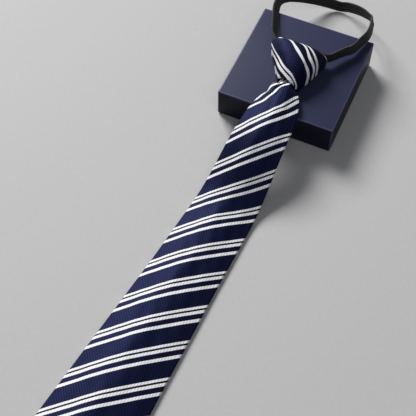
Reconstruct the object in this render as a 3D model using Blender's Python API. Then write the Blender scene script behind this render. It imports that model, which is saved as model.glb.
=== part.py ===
"""Ready-knotted zipper necktie, lying with its knot on a plain gift box.

Metres, +Z up. The origin is the centre of the box's underside, and +Y runs along the tie towards its knot.
"""
import math

import bmesh
import bpy
import numpy as np

GAP = 0.0003                      # left between neighbouring pieces

# Gift box, turned a little to the tie that lies on it
BOX_WIDTH = 0.101
BOX_DEPTH = 0.103
BOX_HEIGHT = 0.028
BOX_TURN = math.radians(4.7)
BOX_EDGE = 0.0012                 # rounding of the card's folded edges

# Knot, a hollow funnel of cloth
KNOT_MIDDLE_X = -0.0038
KNOT_TOP_Y = 0.0105
KNOT_WIDTH = 0.050
KNOT_LENGTH = 0.0390
KNOT_THICKNESS = 0.0225
KNOT_WALL = 0.0018
KNOT_RIM_SET_BACK = 0.0020        # the front of the top rim is this much lower than its corners
KNOT_SIDE_HEIGHT = 0.36           # where its sides reach furthest, share of the height
KNOT_FRONT_SHAPE = 0.85           # exponent of the rounded front
KNOT_BACK_SHAPE = 0.18            # exponent of the flat back
KNOT_SIDES = 28
KNOT_STEPS = 12

# Inner turn of the knot, whose rim shows at the top
COLLAR_WALL = 0.0014
COLLAR_DEPTH = 0.012
COLLAR_RIM = 0.0018               # how far it stands out of the knot
COLLAR_STEPS = 4
COLLAR_LIP = 0.98                 # share of its height that the rim keeps
COLLAR_SINK = 0.0022              # how much deeper its right end sits, where the strap turns over it
COLLAR_SINK_SHAPE = 3

# Blade, a folded shell with two flaps that meet behind
BLADE_X = 0.0064                  # the blade's straight axis
BLADE_REACH = 0.434               # from the knot's lower mouth to the point
BLADE_TUCK = 0.011                # what is hidden inside the knot
BLADE_NECK_WIDTH = 0.0370         # of the straight taper, at the knot
BLADE_WIDTH = 0.0800              # at the shoulder of the point
POINT_LENGTH = 0.0400             # shoulder to point, a square corner
BLADE_CROWN = 0.0092              # height of the soft ridge down the front
CLOTH = 0.0012                    # wall of the folded cloth
FOLD_RADIUS = 0.0016              # outer radius of the folded edges
FLAP_GAP = 0.0016                 # between the flaps, behind
BLADE_RIDGE = -0.04               # ridge beside the axis, share of the width
CROWN_SHAPE = 1.7                 # exponent of the crown's curve across
CROWN_STEPS = 12
PLEAT_EDGE = 6                    # exponent that ends the pleats before the folded edges
POINT_THIN = 0.28                 # share of its thickness that the blade keeps at the point
POINT_FADE = 3.5                  # how late towards the point it gets thin
CROWN_FADE = (1.1, 0.12)          # how the crown runs out towards the point
POINT_BLUNT = 0.0004
NECK_LENGTH = 0.040               # below the knot, where the cloth is gathered
DROP_LENGTH = 0.100               # from the box's edge down to the table
DROP_START = 0.003                # past the box's edge

# Closed zipper behind the blade, with its slider up inside the knot
ZIP_WIDTH = 0.0200
ZIP_TAPE = 0.0010
ZIP_GATHER = 0.48                 # share of its width that is left where the knot squeezes it
ZIP_CHAIN_WIDTH = 0.0060
ZIP_CHAIN = 0.0018                # thickness at the teeth
ZIP_LENGTH = 0.118
SLIDER_LENGTH = 0.0090
SLIDER_WIDTH = 0.0090
SLIDER_HEIGHT = 0.0050
SLIDER_STEP = 0.0004              # length of its sloping end
ZIP_STEPS = 16

# Neck strap
BAND_WIDTH = 0.0092
BAND_THICKNESS = 0.0016
LOOP_WIDTH = 0.0850
LOOP_REACH = 0.0900               # behind the knot's top
BAND_EDGE = 0.3                   # share of half its thickness that its edges are trimmed
BAND_STEPS = 60
CURVE_STEPS = 12                  # fine steps between two rows of a route

# The knot from its top rim to its lower mouth: each row has its left and right corner as a share of the
# width from the knot's middle and of the length from its top, and how much of the thickness it has.
KNOT_COLUMNS = ("left", "left_down", "right", "right_down", "rise")
KNOT_ROWS = (
    (-0.496, 0.064, 0.506, -0.018, 0.90),
    (-0.476, 0.136, 0.500, 0.064, 0.97),
    (-0.430, 0.246, 0.480, 0.213, 1.00),
    (-0.344, 0.410, 0.444, 0.410, 0.98),
    (-0.240, 0.577, 0.414, 0.587, 0.91),
    (-0.142, 0.764, 0.364, 0.782, 0.78),
    (-0.055, 0.910, 0.335, 1.000, 0.57),
)

# The gathered neck: distance below the mouth as a share of the neck's length, then each side's reach as a
# share of the straight taper's half width, the crown as a share of BLADE_CROWN, and the lift of the back
# as a share of the knot's wall, over which it comes out.
NECK_COLUMNS = ("down", "left", "right", "crown", "lift")
NECK_ROWS = (
    (-0.30, 0.56, 0.20, 0.64, 1.00),
    (0.00, 0.58, 0.22, 0.67, 1.00),
    (0.05, 0.78, 0.44, 0.71, 0.98),
    (0.14, 0.81, 0.58, 0.84, 0.90),
    (0.26, 0.79, 0.72, 0.92, 0.70),
    (0.42, 0.93, 0.84, 0.96, 0.40),
    (0.62, 1.02, 0.95, 1.00, 0.12),
    (1.00, 1.05, 1.02, 1.00, 0.00),
    (2.20, 1.06, 1.05, 1.00, 0.00),
    (4.40, 1.00, 1.00, 1.00, 0.00),
)

# Lengths of the blade from the knot to the point, and how many sections each one has.
BLADE_SECTIONS = {"tuck": 3, "neck": 12, "slope": 10, "flat": 6, "point": 7}

# Pleats pressed in by the knot: place across (-1 left edge to 1 right edge) at the mouth and where it runs
# out, its length in neck lengths, its half width across, and its depth as a share of BLADE_CROWN.
PLEAT_COLUMNS = ("start", "end", "length", "spread", "depth")
PLEATS = (
    (-0.62, -0.86, 0.95, 0.13, 0.20),
    (-0.10, -0.34, 1.60, 0.12, 0.13),
    (0.46, 0.62, 1.30, 0.14, 0.17),
)

# The strap's lower edge, clockwise seen from above. Through the knot it lies over the walls of the knot and
# its inner turn, and side and down are shares of the knot's width and length. Round the loop, side and along
# are shares of the loop's width and reach, and deck is the share of the box's height that is under it. lift
# adds a share of the strap's width to the height, and lean is the strap's outward tilt in degrees.
PASS_COLUMNS = ("side", "down", "lift", "lean")
PASS_ROWS = (
    (0.468, -0.059, 0.01, 0.0),
    (0.356, -0.041, 0.01, 0.0),
    (0.240, 0.020, 0.01, 0.0),
    (0.146, 0.110, 0.01, 0.0),
    (-0.004, 0.141, 0.01, 0.0),
    (-0.124, 0.120, 0.01, 0.0),
    (-0.224, 0.059, 0.01, 2.0),
    (-0.304, -0.022, 0.01, 8.0),
    (-0.384, -0.080, 0.01, 25.0),
    (-0.448, -0.151, 0.04, 33.0),
)
LOOP_COLUMNS = ("side", "along", "deck", "lift", "lean")
LOOP_ROWS = (
    (-0.294, 0.100, 1.00, 0.46, 33.0),
    (-0.328, 0.177, 1.00, 0.34, 35.0),
    (-0.391, 0.307, 1.00, 0.16, 35.0),
    (-0.441, 0.415, 1.00, 0.06, 32.0),
    (-0.480, 0.540, 0.90, 0.00, 20.0),
    (-0.471, 0.656, 0.71, 0.00, 18.0),
    (-0.408, 0.733, 0.60, 0.00, 20.0),
    (-0.286, 0.849, 0.37, 0.00, 22.0),
    (-0.149, 0.950, 0.13, 0.00, 24.0),
    (0.004, 1.002, 0.02, 0.00, 22.0),
    (0.130, 0.993, 0.17, 0.00, 14.0),
    (0.300, 0.925, 0.42, 0.00, 3.0),
    (0.436, 0.831, 0.64, 0.00, -14.0),
    (0.480, 0.716, 0.80, 0.00, -17.0),
    (0.515, 0.583, 0.96, 0.00, -19.0),
    (0.522, 0.490, 1.00, 0.08, -21.0),
    (0.498, 0.386, 1.00, 0.14, -20.0),
    (0.464, 0.262, 1.00, 0.23, -14.0),
    (0.405, 0.189, 1.00, 0.29, -9.0),
    (0.353, 0.111, 1.00, 0.37, -5.0),
    (0.313, 0.050, 1.00, 0.43, -2.0),
)


def clear_scene():
    for thing in list(bpy.data.objects):
        bpy.data.objects.remove(thing, do_unlink=True)


def material(name, color, roughness, metallic=0.0):
    made = bpy.data.materials.new(name)
    made.use_nodes = True
    shader = made.node_tree.nodes["Principled BSDF"]
    shader.inputs["Base Color"].default_value = (*color, 1.0)
    shader.inputs["Roughness"].default_value = roughness
    shader.inputs["Metallic"].default_value = metallic
    made.diffuse_color = (*color, 1.0)
    return made


def column(columns, rows, name):
    return np.array([row[columns.index(name)] for row in rows])


def smooth_table(places, values, at):
    """Value at a place, on a smooth curve through the table that never overshoots its rows."""
    at = min(max(at, places[0]), places[-1])
    steps = np.diff(places)
    slopes = np.diff(values) / steps
    tangents = np.zeros(len(values))
    tangents[0] = slopes[0]
    tangents[-1] = slopes[-1]
    for i in range(1, len(values) - 1):
        if slopes[i - 1] * slopes[i] > 0:
            tangents[i] = 2 * slopes[i - 1] * slopes[i] / (slopes[i - 1] + slopes[i])
    i = min(int(np.searchsorted(places, at, side="right")) - 1, len(steps) - 1)
    t = (at - places[i]) / steps[i]
    start = (1 + 2 * t) * (1 - t) ** 2 * values[i] + t * (1 - t) ** 2 * steps[i] * tangents[i]
    end = t * t * (3 - 2 * t) * values[i + 1] + t * t * (t - 1) * steps[i] * tangents[i + 1]
    return float(start + end)


def ease(share):
    """Soft step from 0 to 1."""
    share = min(max(share, 0.0), 1.0)
    return share ** 3 * (share * (6 * share - 15) + 10)


def add_object(name, mesh, finish):
    mesh.materials.append(finish)
    made = bpy.data.objects.new(name, mesh)
    bpy.context.scene.collection.objects.link(made)
    return made


def finish_mesh(name, form, sharp_degrees):
    bmesh.ops.recalc_face_normals(form, faces=form.faces)
    if form.calc_volume(signed=True) < 0:
        bmesh.ops.reverse_faces(form, faces=form.faces)
    mesh = bpy.data.meshes.new(name)
    form.to_mesh(mesh)
    form.free()
    mesh.shade_smooth()
    mesh.set_sharp_from_angle(angle=math.radians(sharp_degrees))
    return mesh


def loft(name, rings, closed=False, sharp_degrees=40):
    """Solid through rings of points, capped at both ends unless it closes on itself."""
    form = bmesh.new()
    rows = [[form.verts.new(point) for point in ring] for ring in rings]
    count = len(rows[0])
    last = len(rows) if closed else len(rows) - 1
    for i in range(last):
        here = rows[i]
        there = rows[(i + 1) % len(rows)]
        for j in range(count):
            k = (j + 1) % count
            form.faces.new((here[j], here[k], there[k], there[j]))
    if not closed:
        caps = [form.faces.new(rows[0]), form.faces.new(rows[-1])]
        bmesh.ops.triangulate(form, faces=caps)
    return finish_mesh(name, form, sharp_degrees)


def shell(name, outer_rows, inner_rows, around, sharp_degrees=40):
    """Wall between two grids of points; around says that each row closes on itself."""
    form = bmesh.new()
    outer = [[form.verts.new(point) for point in row] for row in outer_rows]
    inner = [[form.verts.new(point) for point in row] for row in inner_rows]
    rows = len(outer)
    count = len(outer[0])
    spans = count if around else count - 1
    for i in range(rows - 1):
        for j in range(spans):
            k = (j + 1) % count
            for grid in (outer, inner):
                form.faces.new((grid[i][j], grid[i][k], grid[i + 1][k], grid[i + 1][j]))
        if not around:
            for j in (0, count - 1):
                form.faces.new((outer[i][j], outer[i + 1][j], inner[i + 1][j], inner[i][j]))
    for i in (0, rows - 1):
        for j in range(spans):
            k = (j + 1) % count
            form.faces.new((outer[i][j], outer[i][k], inner[i][k], inner[i][j]))
    return finish_mesh(name, form, sharp_degrees)


def box_front_y(x):
    """Where the box's front face lies at x, with the box turned."""
    return (-BOX_DEPTH / 2 + x * math.sin(BOX_TURN)) / math.cos(BOX_TURN)


def mouth_y():
    """Where the knot's lower mouth ends along the tie."""
    return KNOT_TOP_Y - KNOT_LENGTH


def mouth_middle_x():
    mouth = knot_row(1.0)
    return KNOT_MIDDLE_X + (mouth["left"] + mouth["right"]) / 2 * KNOT_WIDTH


def make_box(finish):
    form = bmesh.new()
    bmesh.ops.create_cube(form, size=1.0)
    bmesh.ops.scale(form, vec=(BOX_WIDTH, BOX_DEPTH, BOX_HEIGHT), verts=form.verts)
    bmesh.ops.translate(form, vec=(0, 0, BOX_HEIGHT / 2), verts=form.verts)
    bmesh.ops.bevel(form, geom=list(form.edges), offset=BOX_EDGE, segments=2, profile=0.5, affect="EDGES")
    made = add_object("gift_box", finish_mesh("gift_box", form, 30), finish)
    made.rotation_euler = (0, 0, BOX_TURN)
    return made


def knot_row(down):
    """The knot's corners and thickness at a share of its length; beyond its ends it carries on straight."""
    places = np.linspace(0.0, 1.0, len(KNOT_ROWS))
    inside = min(max(down, 0.0), 1.0)
    found = {}
    for name in KNOT_COLUMNS:
        found[name] = smooth_table(places, column(KNOT_COLUMNS, KNOT_ROWS, name), inside)
    for name in ("left_down", "right_down"):
        found[name] += down - inside
    found["set_back"] = KNOT_RIM_SET_BACK * max(1 - 2 * inside, 0.0) ** 2
    return found


def knot_ring(down, inset, squeeze=1.0, sink=0.0):
    """Ring of points round the knot, inset from its outside: flat behind and rounded in front.

    squeeze is the share of the height that its front keeps, and sink how much lower its right end is.
    """
    row = knot_row(down)
    back = BOX_HEIGHT + GAP + inset
    top = BOX_HEIGHT + GAP + KNOT_THICKNESS * row["rise"] - inset
    top = back + (top - back) * squeeze
    side = back + KNOT_SIDE_HEIGHT * (top - back)
    left = KNOT_MIDDLE_X + row["left"] * KNOT_WIDTH + inset
    right = KNOT_MIDDLE_X + row["right"] * KNOT_WIDTH - inset
    left_y = KNOT_TOP_Y - row["left_down"] * KNOT_LENGTH
    right_y = KNOT_TOP_Y - row["right_down"] * KNOT_LENGTH
    points = []
    for i in range(KNOT_SIDES):
        angle = 2 * math.pi * i / KNOT_SIDES
        across = 0.5 + 0.5 * math.copysign(abs(math.cos(angle)) ** KNOT_FRONT_SHAPE, math.cos(angle))
        lifted = abs(math.sin(angle))
        y = left_y + (right_y - left_y) * across - sink * across ** COLLAR_SINK_SHAPE
        if math.sin(angle) >= 0:
            z = side + (top - side) * lifted ** KNOT_FRONT_SHAPE
            y -= row["set_back"] * lifted
        else:
            z = side - (side - back) * lifted ** KNOT_BACK_SHAPE
        points.append((left + (right - left) * across, y, z))
    return points


def make_knot(finish):
    steps = [i / KNOT_STEPS for i in range(KNOT_STEPS + 1)]
    outer = [knot_ring(down, 0.0) for down in steps]
    inner = [knot_ring(down, KNOT_WALL) for down in steps]
    return add_object("knot_wrap", shell("knot_wrap", outer, inner, True), finish)


def make_collar(finish):
    deep = COLLAR_DEPTH / KNOT_LENGTH
    rim = -COLLAR_RIM / KNOT_LENGTH
    inset = KNOT_WALL + GAP
    shares = [i / COLLAR_STEPS for i in range(COLLAR_STEPS + 1)]
    steps = [(deep + (rim - deep) * share, COLLAR_LIP if share == 1 else 1.0, COLLAR_SINK * share)
             for share in shares]
    outer = [knot_ring(down, inset, squeeze, sink) for down, squeeze, sink in steps]
    inner = [knot_ring(down, inset + COLLAR_WALL, squeeze, sink) for down, squeeze, sink in steps]
    return add_object("knot_collar", shell("knot_collar", outer, inner, True), finish)


def drop(y):
    """1 on the box and 0 on the table, with a soft slope between."""
    start = box_front_y(BLADE_X) - DROP_START
    return 1 - ease((start - y) / DROP_LENGTH)


def lift_of_neck(y):
    down = (mouth_y() - y) / NECK_LENGTH
    return smooth_table(column(NECK_COLUMNS, NECK_ROWS, "down"),
                        column(NECK_COLUMNS, NECK_ROWS, "lift"), down)


def zip_underside(y):
    on_box = BOX_HEIGHT + GAP + (KNOT_WALL + GAP) * lift_of_neck(y)
    return on_box * drop(y) - (ZIP_CHAIN + GAP) * (1 - drop(y))


def blade_underside(y):
    return zip_underside(y) + ZIP_CHAIN + GAP


def slope_normal(height, y):
    """Direction out of a surface that follows a height along y."""
    rise = (height(y + GAP) - height(y - GAP)) / (2 * GAP)
    length = math.hypot(rise, 1.0)
    return -rise / length, 1.0 / length


def blade_half_widths(y):
    """Reach of the left and right edge from the blade's axis, and the crown's height there."""
    along = mouth_y() - y
    to_shoulder = BLADE_REACH - POINT_LENGTH
    taper = BLADE_NECK_WIDTH + (BLADE_WIDTH - BLADE_NECK_WIDTH) * min(along / to_shoulder, 1.0)
    down = along / NECK_LENGTH
    places = column(NECK_COLUMNS, NECK_ROWS, "down")
    half = {name: smooth_table(places, column(NECK_COLUMNS, NECK_ROWS, name), down)
            for name in ("left", "right", "crown")}
    closing = min((BLADE_REACH - along) / POINT_LENGTH, 1.0)
    left = half["left"] * taper / 2 * closing
    right = half["right"] * taper / 2 * closing
    return left, right, BLADE_CROWN * half["crown"], closing


def pleat_depth(across, y):
    """How far the pleats dent the front at a place across, -1 to 1."""
    below = max(mouth_y() - y, 0.0) / NECK_LENGTH
    depth = 0.0
    for row in PLEATS:
        pleat = dict(zip(PLEAT_COLUMNS, row))
        share = below / pleat["length"]
        if share < 1:
            place = pleat["start"] + (pleat["end"] - pleat["start"]) * share
            fade = (1 - ease(share)) * pleat["depth"] * BLADE_CROWN
            depth += fade * math.exp(-((across - place) / pleat["spread"]) ** 2)
    return depth


def blade_section(y):
    """Outer and inner points of one section, from one flap's edge round the front to the other's."""
    left, right, crown, closing = blade_half_widths(y)
    fine = min(1.0, max(closing * POINT_FADE, POINT_THIN))
    radius = FOLD_RADIUS * fine
    wall = CLOTH * fine
    slit = FLAP_GAP / 2 * fine
    left = max(left, radius + 2 * slit)
    right = max(right, radius + 2 * slit)
    fade, kept = CROWN_FADE
    rise = (crown - 2 * FOLD_RADIUS) * ease(closing * fade + kept) * fine
    ridge = BLADE_RIDGE * (left + right)
    outer = []
    inner = []

    def add(u, v, normal_u, normal_v):
        outer.append((u, v))
        inner.append((u - normal_u * wall, v - normal_v * wall))

    for share in (0.0, 0.5, 1.0):
        add(-slit + (-(left - radius) + slit) * share, 0.0, 0, -1)
    for angle in (-45, 0, 45):
        turn = math.radians(angle)
        add(-(left - radius) - radius * math.cos(turn), radius + radius * math.sin(turn),
            -math.cos(turn), math.sin(turn))
    for i in range(CROWN_STEPS + 1):
        across = -1 + 2 * i / CROWN_STEPS
        side = (right - radius) if across > 0 else (left - radius)
        u = across * side
        beside = (u - ridge) / (side - ridge if u > ridge else side + ridge)
        height = 2 * radius + rise * (1 - abs(beside) ** CROWN_SHAPE)
        height -= pleat_depth(across, y) * (1 - across ** PLEAT_EDGE)
        add(u, height, 0, 1)
    for angle in (45, 0, -45):
        turn = math.radians(angle)
        add(right - radius + radius * math.cos(turn), radius + radius * math.sin(turn),
            math.cos(turn), math.sin(turn))
    for share in (1.0, 0.5, 0.0):
        add(slit + (right - radius - slit) * share, 0.0, 0, -1)
    lean, up = slope_normal(blade_underside, y)
    base = blade_underside(y)

    def place(points):
        return [(BLADE_X + u, y + v * lean, base + v * up) for u, v in points]

    return place(outer), place(inner)


def blade_stations():
    """Distances along the tie: close together at the neck, on the slope and at the point."""
    top = mouth_y() + BLADE_TUCK
    neck_end = mouth_y() - NECK_LENGTH
    slope_end = box_front_y(BLADE_X) - DROP_START - DROP_LENGTH
    shoulder = mouth_y() - BLADE_REACH + POINT_LENGTH
    tip = mouth_y() - BLADE_REACH
    ends = (top, mouth_y(), neck_end, slope_end, shoulder, tip)
    places = []
    for start, end, count in zip(ends, ends[1:], BLADE_SECTIONS.values()):
        places += [start + (end - start) * i / count for i in range(count)]
    return places + [tip + POINT_BLUNT]


def make_blade(finish):
    sections = [blade_section(y) for y in blade_stations()]
    outer = [section[0] for section in sections]
    inner = [section[1] for section in sections]
    return add_object("blade", shell("blade", outer, inner, False), finish)


def make_zipper(finish):
    top = KNOT_TOP_Y - COLLAR_DEPTH - 2 * GAP
    slider_end = top - SLIDER_LENGTH
    bottom = top - ZIP_LENGTH
    chain_top = slider_end - SLIDER_STEP
    places = [(top, True), (slider_end, True)]
    places += [(chain_top + (bottom - chain_top) * i / ZIP_STEPS, False) for i in range(ZIP_STEPS + 1)]
    rings = []
    for y, in_slider in places:
        half_chain = (SLIDER_WIDTH if in_slider else ZIP_CHAIN_WIDTH) / 2
        high = SLIDER_HEIGHT if in_slider else ZIP_CHAIN
        lean, up = slope_normal(zip_underside, y)
        base = zip_underside(y)
        outline = ((-ZIP_WIDTH / 2, 0), (ZIP_WIDTH / 2, 0), (ZIP_WIDTH / 2, ZIP_TAPE),
                   (half_chain, high), (-half_chain, high), (-ZIP_WIDTH / 2, ZIP_TAPE))
        middle = BLADE_X + (mouth_middle_x() - BLADE_X) * lift_of_neck(y)
        narrow = 1 + (ZIP_GATHER - 1) * lift_of_neck(y)
        rings.append([(middle + u * narrow, y + v * lean, base + v * up) for u, v in outline])
    return add_object("zipper_tail", loft("zipper_tail", rings, sharp_degrees=25), finish)


def band_route():
    """Lower edge of the strap and its lean, a closed list of places."""
    over_walls = BOX_HEIGHT + KNOT_WALL + COLLAR_WALL + 3 * GAP
    route = []
    for side, along, deck, lift, lean in LOOP_ROWS:
        route.append((KNOT_MIDDLE_X + side * LOOP_WIDTH, KNOT_TOP_Y + along * LOOP_REACH,
                      deck * BOX_HEIGHT + lift * BAND_WIDTH, lean))
    for side, down, lift, lean in PASS_ROWS:
        route.append((KNOT_MIDDLE_X + side * KNOT_WIDTH, KNOT_TOP_Y - down * KNOT_LENGTH,
                      over_walls + lift * BAND_WIDTH, lean))
    return np.array(route)


def closed_curve(points, steps):
    """Evenly parted places on a smooth closed curve through the points."""
    count = len(points)
    fine = []
    for i in range(count):
        before, here, there, after = (points[(i + k) % count] for k in (-1, 0, 1, 2))
        for j in range(CURVE_STEPS):
            t = j / CURVE_STEPS
            fine.append(0.5 * (2 * here + (there - before) * t
                               + (2 * before - 5 * here + 4 * there - after) * t * t
                               + (3 * here - before - 3 * there + after) * t ** 3))
    fine = np.array(fine)
    ring = np.vstack([fine, fine[:1]])
    walked = np.concatenate([[0], np.cumsum(np.linalg.norm(np.diff(ring[:, :3], axis=0), axis=1))])
    wanted = np.linspace(0, walked[-1], steps, endpoint=False)
    return np.array([[np.interp(at, walked, ring[:, k]) for k in range(ring.shape[1])] for at in wanted])


def make_band(finish):
    stations = closed_curve(band_route(), BAND_STEPS)
    rings = []
    for i in range(len(stations)):
        before = stations[i - 1][:3]
        after = stations[(i + 1) % len(stations)][:3]
        ahead = (after - before) / np.linalg.norm(after - before)
        outward = np.array([-ahead[1], ahead[0], 0.0])
        outward /= np.linalg.norm(outward)
        lean = math.radians(stations[i][3])
        rise = math.cos(lean) * np.array([0, 0, 1.0]) + math.sin(lean) * outward
        rise -= ahead * float(rise @ ahead)
        rise /= np.linalg.norm(rise)
        face = np.cross(ahead, rise)
        half = BAND_THICKNESS / 2
        trim = BAND_EDGE * half
        outline = ((trim, -half), (BAND_WIDTH - trim, -half), (BAND_WIDTH, -trim), (BAND_WIDTH, trim),
                   (BAND_WIDTH - trim, half), (trim, half), (0, trim), (0, -trim))
        rings.append([tuple(stations[i][:3] + rise * up + face * out) for up, out in outline])
    return add_object("neck_band", loft("neck_band", rings, closed=True, sharp_degrees=50), finish)


def build():
    clear_scene()
    cloth = material("striped_cloth", (0.026, 0.032, 0.13), 0.55)
    make_box(material("box_card", (0.045, 0.048, 0.09), 0.7))
    make_blade(cloth)
    make_knot(material("knot_cloth", (0.026, 0.032, 0.13), 0.55))
    make_collar(material("collar_cloth", (0.026, 0.032, 0.13), 0.55))
    make_zipper(material("zipper_tape", (0.012, 0.012, 0.014), 0.6))
    make_band(material("strap_web", (0.012, 0.012, 0.014), 0.65))


build()
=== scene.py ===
"""Looks of the ready-knotted zipper necktie that lies with its knot on a gift box.

Metres, +Z up. The origin is the centre of the box's underside, and +Y runs along the tie towards its knot.
"""
import math

import bmesh
import bpy
import numpy as np
from mathutils import Matrix, Vector


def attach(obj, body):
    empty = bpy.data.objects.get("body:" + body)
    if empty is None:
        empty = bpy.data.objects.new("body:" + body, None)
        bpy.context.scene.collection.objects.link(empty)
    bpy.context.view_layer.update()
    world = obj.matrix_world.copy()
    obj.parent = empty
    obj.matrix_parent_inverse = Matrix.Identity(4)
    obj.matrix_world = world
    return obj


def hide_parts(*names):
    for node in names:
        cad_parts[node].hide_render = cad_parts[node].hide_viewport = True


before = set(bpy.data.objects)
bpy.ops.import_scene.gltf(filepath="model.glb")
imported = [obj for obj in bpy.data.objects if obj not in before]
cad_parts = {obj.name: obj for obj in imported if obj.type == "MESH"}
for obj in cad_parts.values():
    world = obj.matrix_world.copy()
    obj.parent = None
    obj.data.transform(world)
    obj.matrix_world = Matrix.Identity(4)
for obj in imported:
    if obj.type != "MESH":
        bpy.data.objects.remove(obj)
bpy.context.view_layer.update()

GAP = 0.0003                      # left between neighbouring pieces

# Gift box, turned a little to the tie that lies on it
BOX_WIDTH = 0.101
BOX_DEPTH = 0.103
BOX_HEIGHT = 0.028
BOX_TURN = math.radians(4.7)
BOX_EDGE = 0.0009                 # rounding of the paper-covered card's edges
LID_WALL = 0.0016
TRAY_INSET = 0.0007               # the tray stands this far inside the lid
TRAY_FOOT = 0.0004                # and shows this much lower
TRAY_ROOM = 0.0010                # between it and the lid's top
TOUCH = 1e-6

# Knot, a hollow funnel of cloth
KNOT_MIDDLE_X = -0.0038
KNOT_TOP_Y = 0.0105
KNOT_WIDTH = 0.050
KNOT_LENGTH = 0.0390
KNOT_THICKNESS = 0.0225
KNOT_WALL = 0.0018
KNOT_RIM_SET_BACK = 0.0020
KNOT_SIDE_HEIGHT = 0.36
KNOT_FRONT_SHAPE = 0.85
KNOT_BACK_SHAPE = 0.18
KNOT_SIDES = 144
KNOT_STEPS = 72
RIM_STEPS = 6                     # round a rolled rim

# Inner turn of the knot
COLLAR_WALL = 0.0014
COLLAR_DEPTH = 0.012
COLLAR_RIM = 0.0018
COLLAR_STEPS = 10
COLLAR_LIP = 0.98
COLLAR_SINK = 0.0022              # how much deeper its right end sits, where the strap turns over it
COLLAR_SINK_SHAPE = 3
COLLAR_WHITE_X = -0.0238          # where a white stripe crosses its rim, which peeks out most there
COLLAR_PEEK = 0.0022
COLLAR_PEEK_WIDTH = 0.0050
COLLAR_STRETCH = 0.26             # the cloth crosses at a slant, so its stripes show wider
COLLAR_PINCH = 0.0009             # but less so near the white one
COLLAR_SLOPE = 0.02               # how far its stripes shift for each knot length down
COLLAR_RIB = 0.7

# Blade, folded cloth with two flaps that meet behind
BLADE_X = 0.0064
BLADE_REACH = 0.434
BLADE_TUCK = 0.011
BLADE_NECK_WIDTH = 0.0370
BLADE_WIDTH = 0.0800
POINT_LENGTH = 0.0400
BLADE_CROWN = 0.0092
CLOTH = 0.0012
FOLD_RADIUS = 0.0016
FLAP_GAP = 0.0012
BLADE_RIDGE = -0.02               # ridge beside the axis, share of the width
RIDGE_SOFTNESS = 0.20             # how round the ridge is, share of the half width
ROOF_SHARE = 0.72                 # the rest of the crown is an even curve
CROWN_FADE = (1.1, 0.12)          # how the crown runs out in the point
STATION_COUNTS = (8, 60, 150, 40)  # in the knot, along the neck, the blade and the point
CROWN_STEPS = 72
FLAP_STEPS = 10
FOLD_ANGLES = np.radians(np.linspace(76, -76, 9))
PLEAT_EDGE = 6
POINT_THIN = 0.28
POINT_FADE = 3.5
POINT_BLUNT = 0.0004
NECK_LENGTH = 0.040
DROP_LENGTH = 0.100
DROP_START = 0.003

# Closed zipper behind the blade
ZIP_WIDTH = 0.0200
ZIP_TAPE = 0.0007
ZIP_GATHER = 0.48
ZIP_CHAIN = 0.0018                # thickness at its teeth
ZIP_LENGTH = 0.118
ZIP_STEPS = 90
ZIP_SIDE_STEPS = 20
COIL_PITCH = 0.00125
COIL_OFFSET = 0.0010              # of a tooth's middle from the zipper's
COIL_HALF_WIDTH = 0.0019
COIL_HALF_LENGTH = 0.0003
COIL_MARGIN = 0.0020
SLIDER_LENGTH = 0.0090
SLIDER_WIDTH = 0.00416
SLIDER_HEIGHT = 0.0046
SLIDER_EDGE = 0.0009

# Neck strap
BAND_WIDTH = 0.0092
BAND_THICKNESS = 0.0016
LOOP_WIDTH = 0.0850
LOOP_REACH = 0.0900
BAND_STEPS = 420
WEB_STEPS = 40
CURVE_STEPS = 24
TOOTH_RADIUS = 0.000682           # teeth on the strap's upper edge
TOOTH_HALF_LENGTH = 0.00063
TOOTH_PITCH = 0.0015
TOOTH_LIFT = 0.0001
TOOTH_SHIFT = 0.0002
TEETH_START = 0.004               # behind the knot
TEETH_REACH = 0.78                # and on to this share of the loop's reach

# Woven stripes: the period is measured square to them
STRIPE_ANGLE = math.radians(47)   # between the stripes and the blade's axis
STRIPE_START_Y = -0.1816          # a pair's first white stripe crosses the axis here
STRIPE_AXIS_PERIOD = 0.03302
STRIPE_PERIOD = STRIPE_AXIS_PERIOD * math.sin(STRIPE_ANGLE)
RIB = 0.0019                      # spacing of the ribs that run across the stripes
TWIST = 0.0025                    # spacing of the slanting floats in the white stripes
TWIST_SLANT = 0.9
WEB_SPACING = 0.0009              # of the strap's and the tape's weave
WEAVE_RELIEF = 0.00012
PAPER_RELIEF = 0.00003
EDGE_WEAR_AND_HIGHLIGHT_WIDTH = 0.0014               # how far the wear and the painted highlight reach from the box's edges
THREAD_GRAIN = 2600               # fineness of single fibres, for each metre
WEB_GRAIN = 3000
PAPER_GRAIN = 1500

# Colours, in linear light
NAVY_HOLLOW = (0.0011, 0.0022, 0.0110)
NAVY_RIB = (0.0044, 0.0076, 0.044)
NAVY_THREAD = (0.007, 0.011, 0.056)
WHITE_HOLLOW = (0.60, 0.60, 0.68)
WHITE_FLOAT = (0.90, 0.90, 0.92)
WHITE_PATCH = (0.80, 0.80, 0.85)
BLACK_THREAD = (0.004, 0.004, 0.007)
WEB_HOLLOW = (0.003, 0.003, 0.0035)
WEB_THREAD = (0.010, 0.010, 0.011)
WEB_RIDGE_HIGHLIGHT = (0.034, 0.034, 0.034)
WEB_FIBRE = (0.020, 0.020, 0.022)
NYLON_DARK = (0.040, 0.040, 0.042)
NYLON_LIGHT = (0.100, 0.100, 0.105)
ENAMEL_DARK = (0.008, 0.008, 0.009)
ENAMEL_LIGHT = (0.022, 0.022, 0.024)
LID_PAPER = (0.024, 0.028, 0.064)
TRAY_PAPER = (0.018, 0.020, 0.046)
# near-black painted shade for the box's upright sides
PAPER_SIDE_SHADE = (0.0006, 0.0008, 0.004)
FLOOR_DARK = (0.41, 0.41, 0.42)
FLOOR_LIGHT = (0.45, 0.45, 0.46)
SKY = (0.75, 0.78, 0.85)

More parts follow.
